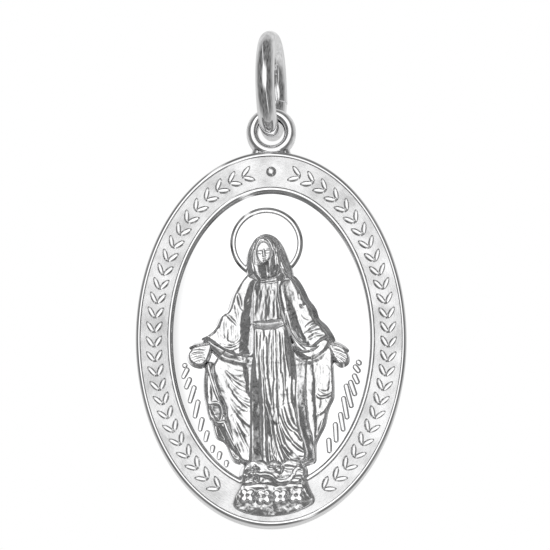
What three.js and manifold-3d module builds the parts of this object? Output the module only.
import * as THREE from 'three';
import { mergeVertices } from 'three/addons/utils/BufferGeometryUtils.js';
import Module from 'manifold-3d';

const wasm = await Module();
wasm.setup();

// Oval silver medal with a robed woman in relief, hung by its own eye on a round-wire jump ring.
// Millimetres, +Z up, the front faces -Y. The origin is the inside top of the jump ring,
// where a chain passes.

// Jump ring
const RING_INSIDE = 4.85; // clear diameter
const RING_WIRE = 1.25; // wire diameter
const RING_TURN = -7.9; // degrees about the vertical, away from square to the medal
const RING_CUT = 0.05; // width of the hairline cut
const RING_CUT_DROP = 25; // degrees below level, on the back limb
const RING_SIDES = 14;
const RING_STEPS = 52;

// Eye on top of the medal
const EYE_SLACK = 0.47; // how much wider the hole is than the wire in it
const EYE_CLEARANCE = 0.1; // between the top of the hole and the wire that carries it
const EYE_WALL = 0.78; // from the hole to the outside
const EYE_THICKNESS = 1.3;
const EYE_SINK = 0.28; // how far the eye's outside reaches into the oval
const EYE_SIDES = 32;
const EYE_FACETS = 10;
const NECK_WIDTH = 2.5;
const NECK_FLARE = 0.35; // how far the neck spreads on each side where it meets the oval
const NECK_THICKNESS = 1.1;

// Oval plate
const MEDAL_HEIGHT = 25;
const MEDAL_WIDTH = 17.8;
const FIELD_THICKNESS = 1; // flat back to sunk field
const BACK_SET = 0.7; // flat back behind the hanging line
const BAND_RISE = 0.4; // flat band above the field
const FRAME_SIDE = 2.24; // outer edge to the crest of the inner ridge, at the sides
const FRAME_END = 2.57; // the same at top and bottom
const RIM_WIDTH = 0.32;
const RIM_RISE = 0.15;
const RIDGE_WIDTH = 0.34;
const RIDGE_RISE = 0.12;
const FIELD_DRAFT = 0.12; // width of the slope from the ridge down to the field
const EDGE_EASE = 0.12; // chamfer at the back edge
const OVAL_SEGMENTS = 84;

// Laurel border on the band
const LEAF_LENGTH = 0.98;
const LEAF_WIDTH = 0.4;
const LEAF_RISE = 0.16;
const LEAF_PITCH = 0.96;
const LEAF_SPREAD = 33; // degrees between a leaf and its stem
const LAUREL_START = 0.12; // share of each side, counted up from the bottom
const LAUREL_END = 0.965;
const BUD_RADIUS = 0.34; // round bud between the two branches, at the top

// Figure, halo and rays
const FIGURE_HEIGHT = 15.2; // hem to top of veil
const HEM_ABOVE_EDGE = 4.3; // hem above the bottom edge of the oval
const FIGURE_SHIFT = -0.2; // axis of the figure beside the middle of the oval
const RELIEF = 1.5; // highest point of the figure above the field
const RELIEF_DRAFT = 2.6; // steepness of the outer walls
const RELIEF_GRID = 0.225; // spacing of the modelled points
const RELIEF_ROOT = 0.4; // depth of the figure's root in the plate
const HALO_RADIUS = 2.4;
const HALO_WIDTH = 0.37;
const HALO_RISE = 0.2;
const HALO_SEGMENTS = 48;
const RAY_WIDTH = 0.32;
const RAY_RISE = 0.14;

// Sizes that follow from these
const ringRadius = (RING_INSIDE + RING_WIRE) / 2;
const ringCentreZ = -RING_INSIDE / 2;
const wireBottomZ = ringCentreZ - ringRadius;
const eyeHole = (RING_WIRE + EYE_SLACK) / 2;
const eyeCentreZ = wireBottomZ - (EYE_SLACK / 2 - EYE_CLEARANCE);
const eyeToMiddle = MEDAL_HEIGHT / 2 + eyeHole + EYE_WALL - EYE_SINK;
const medalCentreZ = eyeCentreZ - eyeToMiddle;
const fieldY = BACK_SET - FIELD_THICKNESS;
const bandY = fieldY - BAND_RISE;
const hemZ = HEM_ABOVE_EDGE - MEDAL_HEIGHT / 2;
const hundredth = FIGURE_HEIGHT / 100;

// Garment panels, laid one over another. A panel's top is in hundredths of RELIEF, and its roll, the
// width of its rounded edge, in hundredths of FIGURE_HEIGHT. Each outline point is across and up, in
// hundredths of FIGURE_HEIGHT, from the middle of the hem.
const PANELS = [
  { name: 'left mantle', top: 52, roll: 4, outline: [
    [-26.8, 50.7], [-27.9, 42.4], [-28.1, 31], [-27.1, 25.2], [-24.8, 20.1], [-23.8, 14.7], [-22.5, 10.5],
    [-19, 8.1], [-14.8, 0], [-12.1, -1.3], [-5, -1.3], [-5, 30], [-7.8, 49.4], [-18.6, 51.5]] },
  { name: 'right mantle', top: 50, roll: 4, outline: [
    [24.7, 52.8], [28.1, 48.5], [28.4, 42], [28.8, 31], [28.6, 27.5], [26.5, 23.2], [25, 16.3], [22.7, 10.4],
    [21.1, 7.8], [20.8, 0.4], [14, -1.3], [7, -1.3], [6, 30], [6.9, 51.5], [13.9, 53.7]] },
  { name: 'left lining', top: 60, roll: 2.5, outline: [
    [-28.4, 53.2], [-25.5, 49], [-22.6, 46.1], [-19.2, 43.3], [-15.6, 40.9], [-11.7, 40.1], [-10.4, 49.4],
    [-18, 53]] },
  { name: 'right lining', top: 60, roll: 2.5, outline: [
    [9.1, 51.1], [13.9, 45.3], [17.6, 43.5], [21.7, 44.4], [26.4, 49.2], [27.4, 53], [18, 54]] },
  { name: 'left hand', top: 66, roll: 3, outline: [
    [-24.7, 51.7], [-29, 52.4], [-32.9, 50.7], [-34.6, 45.9], [-32.5, 42], [-28.6, 41.1], [-25.5, 44.6]] },
  { name: 'right hand', top: 66, roll: 3, outline: [
    [26, 49.2], [26.8, 53.4], [29.6, 52.4], [33.9, 49.9], [35.4, 45.9], [34.2, 43.1], [31, 41.8], [28.3, 43.7]] },
  { name: 'left sleeve', top: 76, roll: 3.6, outline: [
    [-8.4, 82.2], [-9.8, 81.9], [-12.8, 78.2], [-15.8, 72.3], [-17.5, 65.8], [-20.5, 64.1], [-23, 59],
    [-26.1, 56], [-28.8, 53.9], [-27.4, 52.4], [-24.2, 49.8], [-21.2, 48.1], [-16.9, 46.1], [-12.1, 46.1],
    [-10.4, 48.5], [-10.4, 58], [-9.8, 66.7], [-7.9, 74.5], [-5.5, 79.2]] },
  { name: 'right sleeve', top: 76, roll: 4.2, outline: [
    [5.5, 80], [10.7, 82], [13.7, 79.1], [15.9, 75.3], [18, 71], [21, 66.7], [22.3, 62.8], [25.7, 59.4],
    [27.9, 56.2], [29.1, 52.6], [26.2, 51.2], [23.6, 49.6], [20.6, 47], [16.8, 45.8], [13.7, 47.4],
    [11.2, 50.9], [9.5, 56], [8.2, 60.7], [7.1, 67.1], [6.3, 73.5]] },
  { name: 'skirt', top: 86, roll: 7, outline: [
    [-6.3, 61.5], [-9.5, 57], [-10.8, 45], [-10.2, 34.2], [-9.6, 19], [-9.4, 6], [-9.2, -1.6], [0, -2.4],
    [15.5, -1.6], [16.8, 5], [14.8, 14], [12.3, 25], [10.4, 38], [9, 50], [7.5, 58], [6, 61.5]] },
  { name: 'bodice', top: 86, roll: 4.5, outline: [
    [-8.4, 79], [-10.8, 72], [-10.6, 62], [-8, 59.5], [0, 59], [7.4, 59.5], [8.2, 66], [7, 74], [5.5, 80],
    [0.5, 80.6], [-4.5, 80]] },
  { name: 'veil', top: 76, roll: 5, outline: [
    [-1, 100], [-4, 99.2], [-6.4, 97.3], [-8.1, 94.4], [-9.4, 90.7], [-9.7, 86.4], [-8.6, 83.2],
    [-9.8, 81.2], [-6.2, 78.6], [-2, 80.5], [2.5, 80.5], [7.6, 78.4], [11, 80.8], [10.4, 84.2], [9.4, 87.4],
    [8.2, 90.9], [6.6, 94.9], [4.4, 97.7], [1.6, 99.5]] },
  { name: 'belt', top: 94, roll: 1.4, outline: [
    [-8, 61.2], [-3, 61.9], [2, 62.9], [7.4, 62.9], [7.6, 60.5], [2, 60.2], [-3, 59.6], [-7.8, 59]] },
  { name: 'base', top: 88, roll: 4, outline: [
    [-12.3, -0.6], [-13.1, -9.5], [-15.7, -14.7], [-16.4, -18], [-12.9, -21.3], [-7.8, -22.9], [0, -23.6],
    [9.1, -22.6], [16, -20.3], [20.9, -17.4], [21.2, -15.2], [18.7, -10.4], [17, -5.2], [17.2, -0.8],
    [9.5, 0.6], [-3, 0.2]] },
];

// The head is an egg-shaped crown: middle and half sizes in hundredths of FIGURE_HEIGHT.
const HEAD = { across: -1.5, up: 90.6, halfWidth: 4.7, halfHeight: 6.1, top: 100 };
const HALO_MIDDLE = { across: -0.7, up: 95.9 };

// Folds run from one point through a second to a third, across and up in hundredths of FIGURE_HEIGHT.
// Half is the fold's half width there too, and rise is in hundredths of RELIEF, below nought for a groove.
const FOLD_COLUMNS = ['x0', 'z0', 'x1', 'z1', 'x2', 'z2', 'half', 'rise'];
const FOLDS = [
  // skirt
  [-5.6, 57, -6, 30, -4.6, 2, 1.9, 10],
  [-1.6, 57, -1.2, 34, 1.4, 17, 1.9, 13],
  [-2, 22, -2, 12, -1.6, -1, 2, 12],
  [2.6, 57, 3.2, 32, 6.6, 6, 1.9, 13],
  [7, 48, 8.2, 38, 8.6, 27, 1.8, 10],
  [6.2, 22, 9, 14, 15.4, 5, 1.8, 10],
  [9.4, 26, 10.8, 20, 12, 14, 1.6, 10],
  [-0.6, 22, 1.6, 14, 3, 1, 1.5, -12],
  // bodice
  [-4.6, 79, -5, 70, -5.2, 62, 1.5, 8],
  [-1.4, 79, -1.6, 70, -1.6, 63, 1.4, 7],
  [2.2, 74, 1.6, 68, 0.8, 63, 1.5, 9],
  [4.6, 79, 5.4, 70, 6, 63, 1.5, 9],
  // sleeves
  [-11.6, 77, -14.6, 68, -16.8, 58, 2.4, 9],
  [-19, 62, -23, 57, -27, 53.6, 1.8, 10],
  [-17.6, 62, -15.6, 60.6, -13.4, 58.6, 1.6, -10],
  [-22.4, 51.6, -17, 48.6, -11.4, 51, 1.7, 9],
  [10, 78, 14.8, 68, 20, 58, 2.4, 8],
  [6.8, 74, 8.6, 60, 14, 48.4, 1.7, 12],
  [15, 47.8, 21, 48.4, 26.6, 53, 1.7, 10],
  // left mantle
  [-26.4, 43, -23.6, 33, -19.6, 24, 1.8, 13],
  [-26, 24, -22, 25, -18.6, 19, 1.8, 14],
  [-17.6, 38.4, -14.4, 36, -10.8, 34, 1.6, -9],
  [-16.2, 32.4, -13, 28.6, -10.4, 27.4, 1.6, -9],
  [-15, 23.8, -12.4, 20.4, -8.6, 16.4, 1.6, -9],
  [-20.6, 18, -16.6, 10, -12.6, 1, 2, 10],
  // right mantle
  [18.6, 42, 18.6, 24, 20, 6, 2, 12],
  [27, 40, 26.6, 33, 24.8, 27, 1.7, 12],
  [21, 30.6, 24, 27.4, 27.4, 27.6, 1.6, -9],
  [14.8, 42, 14.6, 28, 17.4, 3, 1.7, -8],
  // veil beside the face, and the rocky base
  [-7.4, 84, -6.6, 90, -4.2, 95.4, 1.5, -12],
  [4.4, 84, 4.2, 90, 1.4, 95.4, 1.5, -12],
  [-11, -4.4, 0, -6.4, 14, -4, 2, -10],
  [-9, -9, 2, -10.4, 15, -8, 2, 10],
  [-14, -16, 2, -19, 19, -15.4, 1.6, 7],
];

// Rays below each hand: the middle of each, across and up, and its length, in hundredths of
// FIGURE_HEIGHT, and its lean away from the figure in degrees.
const RAY_COLUMNS = ['across', 'up', 'length', 'lean'];
const LEFT_RAYS = [
  [-36, 42.2, 2.4, 40],
  [-35.8, 38.8, 5.7, 28],
  [-34.6, 34.4, 5.9, 23],
  [-32.8, 29.6, 8.5, 17],
  [-30.9, 23.2, 8.7, 12],
  [-28.9, 16.5, 6.7, 12],
  [-26.6, 11.3, 5.6, 14],
  [-24, 5.8, 4, 11],
  [-21, 2.9, 4.3, 13],
  [-18, -0.6, 3.6, 13],
];
const RIGHT_RAYS = [
  [39.2, 43.5, 2.9, 48],
  [38.3, 40.8, 4.4, 37],
  [37.9, 36.4, 5.2, 25],
  [36.5, 32.4, 7.6, 19],
  [34.8, 29, 11.1, 14],
  [33.3, 23.8, 10.5, 10],
  [31.8, 17.7, 8.8, 10],
  [29.2, 13.1, 9.1, 3],
  [26.3, 7.4, 7, 3],
];

function rows(columns, table) {
  return table.map((row) => Object.fromEntries(columns.map((name, i) => [name, row[i]])));
}

// A closed geometry with its shared corners joined becomes a solid.
function solid(geometry) {
  const bare = geometry.clone();
  bare.deleteAttribute('normal');
  bare.deleteAttribute('uv');
  const joined = mergeVertices(bare, 1e-5);
  const corners = joined.index.array;
  const kept = [];
  for (let i = 0; i < corners.length; i += 3) {
    const [a, b, c] = [corners[i], corners[i + 1], corners[i + 2]];
    if (a !== b && b !== c && c !== a) kept.push(a, b, c);
  }
  const vertProperties = new Float32Array(joined.attributes.position.array);
  return new wasm.Manifold(new wasm.Mesh({ numProp: 3, vertProperties, triVerts: new Uint32Array(kept) }));
}

function geometryOf(body) {
  const mesh = body.getMesh();
  const geometry = new THREE.BufferGeometry();
  geometry.setAttribute('position', new THREE.BufferAttribute(mesh.vertProperties, 3));
  geometry.setIndex(new THREE.BufferAttribute(mesh.triVerts, 1));
  geometry.computeVertexNormals();
  return geometry;
}

// Half height of the oval that lies a given distance inside the medal's edge.
function halfHeightAt(inset) {
  return MEDAL_HEIGHT / 2 - (inset * FRAME_END) / FRAME_SIDE;
}

// The plate is turned from one profile of inset and rise, then drawn out into an oval.
function plate() {
  const band = FIELD_THICKNESS + BAND_RISE;
  const rim = band + RIM_RISE;
  const ridge = band + RIDGE_RISE;
  const foot = FRAME_SIDE + RIDGE_WIDTH / 2;
  const profile = [
    [MEDAL_WIDTH / 2, 0],
    [EDGE_EASE, 0],
    [0, EDGE_EASE],
    [0, band - RIM_RISE],
    [RIM_WIDTH * 0.18, rim - RIM_RISE * 0.3],
    [RIM_WIDTH * 0.45, rim],
    [RIM_WIDTH * 0.8, rim - RIM_RISE * 0.35],
    [RIM_WIDTH, band],
    [FRAME_SIDE - RIDGE_WIDTH / 2, band],
    [FRAME_SIDE - RIDGE_WIDTH * 0.2, ridge],
    [FRAME_SIDE + RIDGE_WIDTH * 0.2, ridge],
    [foot, band - RIDGE_RISE],
    [foot + FIELD_DRAFT, FIELD_THICKNESS],
    [MEDAL_WIDTH / 2, FIELD_THICKNESS],
  ];
  const points = profile.map(([inset, rise]) => new THREE.Vector2(MEDAL_WIDTH / 2 - inset, rise));
  const geometry = new THREE.LatheGeometry(points, OVAL_SEGMENTS);
  geometry.rotateX(Math.PI);
  const position = geometry.attributes.position;
  for (let i = 0; i < position.count; i += 1) {
    const radius = Math.hypot(position.getX(i), position.getZ(i));
    const drawn = radius > 0 ? halfHeightAt(MEDAL_WIDTH / 2 - radius) / radius : 1;
    position.setZ(i, position.getZ(i) * drawn);
  }
  geometry.translate(0, BACK_SET, 0);
  return solid(geometry);
}

// Distance from a point to a closed outline, above nought inside it.
function insetIn(outline, x, z) {
  let nearest = Infinity;
  let inside = false;
  for (let i = 0; i < outline.length; i += 1) {
    const a = outline[i];
    const b = outline[(i + 1) % outline.length];
    const [ex, ez] = [b.x - a.x, b.y - a.y];
    const along = THREE.MathUtils.clamp(((x - a.x) * ex + (z - a.y) * ez) / (ex * ex + ez * ez), 0, 1);
    nearest = Math.min(nearest, Math.hypot(x - a.x - along * ex, z - a.y - along * ez));
    if (a.y > z !== b.y > z && x < a.x + ((z - a.y) * ex) / ez) inside = !inside;
  }
  return inside ? nearest : -nearest;
}

// Rise of a quarter-round edge, from nought at the outline to one.
function quarterRound(share) {
  const t = THREE.MathUtils.clamp(share, 0, 1);
  return Math.sqrt(1 - (1 - t) * (1 - t));
}

// Height that a fold adds at a point. It fades out towards both of its ends.
function foldRise(fold, x, z) {
  let nearest = Infinity;
  let place = 0;
  for (let i = 1; i < fold.path.length; i += 1) {
    const a = fold.path[i - 1];
    const b = fold.path[i];
    const [ex, ez] = [b.x - a.x, b.y - a.y];
    const along = THREE.MathUtils.clamp(((x - a.x) * ex + (z - a.y) * ez) / (ex * ex + ez * ez), 0, 1);
    const distance = Math.hypot(x - a.x - along * ex, z - a.y - along * ez);
    if (distance < nearest) {
      nearest = distance;
      place = (i - 1 + along) / (fold.path.length - 1);
    }
  }
  const beside = nearest / fold.half;
  if (beside >= 1) return 0;
  return fold.rise * (1 - beside * beside) ** 2 * Math.sqrt(Math.sin(Math.PI * place));
}

function figurePoint(across, up) {
  return new THREE.Vector2(FIGURE_SHIFT + across * hundredth, hemZ + up * hundredth);
}

const panels = PANELS.map((panel) => {
  const corners = panel.outline.map(([across, up]) => figurePoint(across, up));
  const curve = new THREE.CatmullRomCurve3(corners.map((p) => new THREE.Vector3(p.x, p.y, 0)), true);
  return {
    outline: curve.getPoints(corners.length * 4).slice(0, -1),
    top: (panel.top * RELIEF) / 100,
    roll: panel.roll * hundredth,
  };
});

const folds = rows(FOLD_COLUMNS, FOLDS).map((row) => {
  const start = figurePoint(row.x0, row.z0);
  const middle = figurePoint(row.x1, row.z1);
  const end = figurePoint(row.x2, row.z2);
  const pull = middle.clone().multiplyScalar(2).sub(start.clone().add(end).multiplyScalar(0.5));
  return {
    path: new THREE.QuadraticBezierCurve(start, pull, end).getPoints(10),
    half: row.half * hundredth,
    rise: (row.rise * RELIEF) / 100,
  };
});

const head = {
  centre: figurePoint(HEAD.across, HEAD.up),
  halfWidth: HEAD.halfWidth * hundredth,
  halfHeight: HEAD.halfHeight * hundredth,
  top: (HEAD.top * RELIEF) / 100,
};

// Height of the figure above the field. It falls below nought outside the figure.
function reliefAt(x, z) {
  let height = -RELIEF_ROOT;
  let inset = -Infinity;
  for (const panel of panels) {
    const depth = insetIn(panel.outline, x, z);
    inset = Math.max(inset, depth);
    height = Math.max(height, Math.min(panel.top * quarterRound(depth / panel.roll), depth * RELIEF_DRAFT));
  }
  for (const fold of folds) height += foldRise(fold, x, z);
  const fromHead = Math.hypot((x - head.centre.x) / head.halfWidth, (z - head.centre.y) / head.halfHeight);
  height = Math.max(height, head.top * quarterRound(1.05 - fromHead));
  return Math.max(-RELIEF_ROOT, Math.min(height, inset * RELIEF_DRAFT));
}

// The figure is a block whose front face is moved out to the modelled heights. Its corners are cut
// back to the plate's oval.
function figure() {
  const corners = panels.flatMap((panel) => panel.outline);
  const box = new THREE.Box2().setFromPoints(corners).expandByScalar(RELIEF_GRID);
  const size = box.getSize(new THREE.Vector2());
  const middle = box.getCenter(new THREE.Vector2());
  const across = Math.round(size.x / RELIEF_GRID);
  const up = Math.round(size.y / RELIEF_GRID);
  const geometry = new THREE.BoxGeometry(size.x, 2 * RELIEF_ROOT, size.y, across, 1, up);
  geometry.translate(middle.x, 0, middle.y);
  const position = geometry.attributes.position;
  for (let i = 0; i < position.count; i += 1) {
    const front = position.getY(i) < 0;
    const height = front ? reliefAt(position.getX(i), position.getZ(i)) : -1.5 * RELIEF_ROOT;
    position.setY(i, fieldY - height);
  }
  const oval = new THREE.CylinderGeometry(1, 1, 4 * RELIEF, OVAL_SEGMENTS);
  oval.scale(MEDAL_WIDTH / 2 - RIM_WIDTH, 1, MEDAL_HEIGHT / 2 - RIM_WIDTH);
  return solid(geometry).intersect(solid(oval));
}

// The halo is a flat ring with sloping edges, turned about an axis along Y.
function halo() {
  const slope = HALO_WIDTH * 0.25;
  const inside = HALO_RADIUS - HALO_WIDTH;
  const points = [
    new THREE.Vector2(inside, -HALO_RISE),
    new THREE.Vector2(HALO_RADIUS, -HALO_RISE),
    new THREE.Vector2(HALO_RADIUS - slope, HALO_RISE),
    new THREE.Vector2(inside + slope, HALO_RISE),
    new THREE.Vector2(inside, -HALO_RISE),
  ];
  const geometry = new THREE.LatheGeometry(points, HALO_SEGMENTS);
  const middle = figurePoint(HALO_MIDDLE.across, HALO_MIDDLE.up);
  geometry.rotateX(Math.PI);
  geometry.translate(middle.x, fieldY, middle.y);
  return solid(geometry);
}

// A ray is a low round-ended bar, half sunk in the field. Side is -1 on the left and 1 on the right.
function ray(row, side) {
  const straight = Math.max(row.length * hundredth - RAY_WIDTH, RAY_WIDTH * 0.1);
  const geometry = new THREE.CapsuleGeometry(RAY_WIDTH / 2, straight, 2, 6);
  geometry.rotateX(Math.PI / 2);
  geometry.scale(1, (2 * RAY_RISE) / RAY_WIDTH, 1);
  geometry.rotateY(-side * THREE.MathUtils.degToRad(row.lean));
  const centre = figurePoint(row.across, row.up);
  geometry.translate(centre.x, fieldY, centre.y);
  return solid(geometry);
}

// A leaf is a long pointed facet with a crest along its middle, set on the band.
function leaf(place, direction) {
  const geometry = new THREE.OctahedronGeometry(1);
  geometry.scale(LEAF_LENGTH / 2, LEAF_RISE, LEAF_WIDTH / 2);
  geometry.rotateY(-direction);
  const reach = LEAF_LENGTH / 2;
  const x = place.x + Math.cos(direction) * reach;
  const z = place.y + Math.sin(direction) * reach;
  geometry.translate(x, bandY, z);
  return solid(geometry);
}

// Two laurel branches climb the band from beside the base and meet under a bud at the top.
function laurel() {
  const middle = (RIM_WIDTH + FRAME_SIDE - RIDGE_WIDTH / 2) / 2;
  const halfWidth = MEDAL_WIDTH / 2 - middle;
  const halfHeight = halfHeightAt(middle);
  const leaves = [];
  for (const side of [-1, 1]) {
    const end = side > 0 ? Math.PI / 2 : -Math.PI * 1.5;
    const branch = new THREE.EllipseCurve(0, 0, halfWidth, halfHeight, -Math.PI / 2, end, side < 0);
    const length = branch.getLength() * (LAUREL_END - LAUREL_START);
    const pairs = Math.floor(length / LEAF_PITCH);
    for (let i = 0; i < pairs; i += 1) {
      const share = LAUREL_START + ((LAUREL_END - LAUREL_START) * i) / pairs;
      const tangent = branch.getTangentAt(share);
      const heading = Math.atan2(tangent.y, tangent.x);
      for (const turn of [-1, 1]) {
        leaves.push(leaf(branch.getPointAt(share), heading + turn * THREE.MathUtils.degToRad(LEAF_SPREAD)));
      }
    }
  }
  const bud = new THREE.SphereGeometry(BUD_RADIUS, 10, 6);
  bud.scale(1, LEAF_RISE / BUD_RADIUS, 1);
  bud.translate(0, bandY, halfHeight);
  return [...leaves, solid(bud)];
}

// The eye is a thick ring on a neck that flares into the oval's top.
function eye() {
  const points = [];
  for (let i = 0; i <= EYE_FACETS; i += 1) {
    const angle = (i / EYE_FACETS) * Math.PI * 2;
    const across = eyeHole + ((1 + Math.cos(angle)) * EYE_WALL) / 2;
    points.push(new THREE.Vector2(across, (Math.sin(angle) * EYE_THICKNESS) / 2));
  }
  const ring = new THREE.LatheGeometry(points, EYE_SIDES);
  ring.translate(0, 0, eyeToMiddle);
  const top = eyeToMiddle - eyeHole - EYE_WALL * 0.4;
  const foot = MEDAL_HEIGHT / 2 - RIM_WIDTH;
  const half = NECK_WIDTH / 2;
  const shape = new THREE.Shape();
  shape.moveTo(-half - NECK_FLARE, foot);
  shape.lineTo(half + NECK_FLARE, foot);
  shape.quadraticCurveTo(half, foot + NECK_FLARE, half - NECK_FLARE / 2, top);
  shape.lineTo(-half + NECK_FLARE / 2, top);
  shape.quadraticCurveTo(-half, foot + NECK_FLARE, -half - NECK_FLARE, foot);
  const neck = new THREE.ExtrudeGeometry(shape, { depth: NECK_THICKNESS, bevelEnabled: false, curveSegments: 4 });
  neck.rotateX(Math.PI / 2);
  neck.translate(0, NECK_THICKNESS / 2, 0);
  return [solid(ring), solid(neck)];
}

// Round wire along an arc in the Y-Z plane.
class WireArc extends THREE.Curve {
  constructor(radius, from, to) {
    super();
    this.radius = radius;
    this.from = from;
    this.to = to;
  }

  getPoint(share, target = new THREE.Vector3()) {
    const angle = THREE.MathUtils.lerp(this.from, this.to, share);
    return target.set(0, Math.cos(angle) * this.radius, Math.sin(angle) * this.radius);
  }
}

function jumpRing() {
  const cut = THREE.MathUtils.degToRad(-RING_CUT_DROP);
  const halfCut = RING_CUT / 2 / ringRadius;
  const path = new WireArc(ringRadius, cut + halfCut, cut - halfCut + 2 * Math.PI);
  const section = new THREE.Shape();
  section.absarc(0, 0, RING_WIRE / 2, 0, 2 * Math.PI);
  const options = { extrudePath: path, steps: RING_STEPS, curveSegments: RING_SIDES / 2, bevelEnabled: false };
  return new THREE.ExtrudeGeometry(section, options);
}

const group = new THREE.Group();

const leftRays = rows(RAY_COLUMNS, LEFT_RAYS).map((row) => ray(row, -1));
const rightRays = rows(RAY_COLUMNS, RIGHT_RAYS).map((row) => ray(row, 1));
const medalBody = wasm.Manifold.union([
  plate(), figure(), halo(), ...leftRays, ...rightRays, ...laurel(), ...eye(),
]);
const silver = new THREE.MeshStandardMaterial({ color: 0xe9e9ea, roughness: 0.14, metalness: 1 });
const medal = new THREE.Mesh(geometryOf(medalBody), silver);
medal.name = 'medal';
medal.position.z = medalCentreZ;
group.add(medal);

const wire = new THREE.MeshStandardMaterial({ color: 0xe4e4e6, roughness: 0.1, metalness: 1 });
const ring = new THREE.Mesh(jumpRing(), wire);
ring.name = 'jump_ring';
ring.position.z = ringCentreZ;
ring.rotation.z = THREE.MathUtils.degToRad(RING_TURN);
group.add(ring);

export default group;
